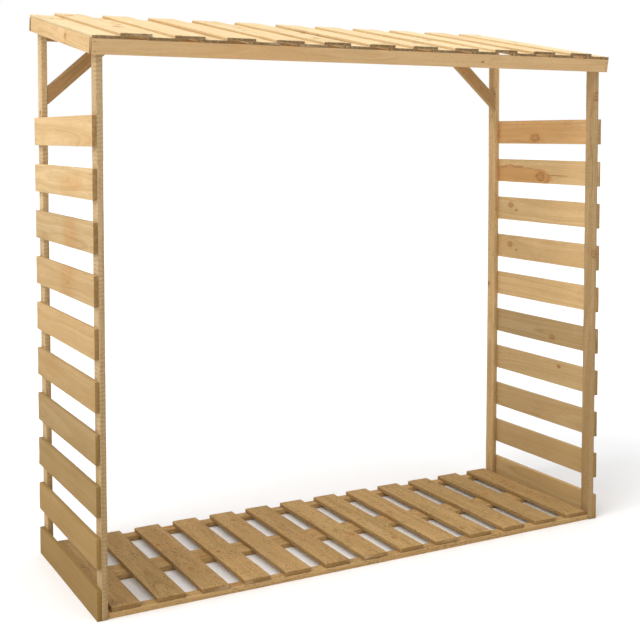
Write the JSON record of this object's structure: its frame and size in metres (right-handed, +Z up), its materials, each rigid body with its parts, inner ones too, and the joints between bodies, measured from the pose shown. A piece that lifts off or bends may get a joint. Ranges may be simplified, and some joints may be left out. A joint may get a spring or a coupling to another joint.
{
  "type": "log store",
  "caption": "Freestanding softwood log store with slatted sides, slatted floor, corner braces and a sloping board-on-board roof, open at the front and back.",
  "frame": {"origin": "on the ground, under the middle of the store's overall width and depth", "axes": "+X to the right along the store's width as seen from its open front, +Y from the front to the back (the roof rises that way), +Z up"},
  "size_m": [1.898, 0.6852, 1.8115],
  "materials": {
    "post_wood": "rough sawn, pressure treated",
    "slat_wood": "sawn, pressure treated",
    "floor_wood": "sawn, pressure treated",
    "fascia_wood": "rough sawn, pressure treated",
    "brace_wood": "rough sawn, pressure treated",
    "roof_wood": "sawn, pressure treated"
  },
  "bodies": {
    "root": {"front_left_post": "post_wood", "rear_left_post": "post_wood", "front_right_post": "post_wood", "rear_right_post": "post_wood", "left_slat_01": "slat_wood", "left_slat_02": "slat_wood", "left_slat_03": "slat_wood", "left_slat_04": "slat_wood", "left_slat_05": "slat_wood", "left_slat_06": "slat_wood", "left_slat_07": "slat_wood", "left_slat_08": "slat_wood", "left_slat_09": "slat_wood", "left_slat_10": "slat_wood", "right_slat_01": "slat_wood", "right_slat_02": "slat_wood", "right_slat_03": "slat_wood", "right_slat_04": "slat_wood", "right_slat_05": "slat_wood", "right_slat_06": "slat_wood", "right_slat_07": "slat_wood", "right_slat_08": "slat_wood", "right_slat_09": "slat_wood", "right_slat_10": "slat_wood", "front_bearer": "floor_wood", "middle_bearer": "floor_wood", "rear_bearer": "floor_wood", "floor_boards": "floor_wood", "front_fascia": "fascia_wood", "rear_fascia": "fascia_wood", "left_fascia": "fascia_wood", "right_fascia": "fascia_wood", "rear_rail": "brace_wood", "left_brace": "brace_wood", "right_brace": "brace_wood", "roof_lower_boards": "roof_wood", "roof_upper_boards": "roof_wood"}
  },
  "joints": []
}
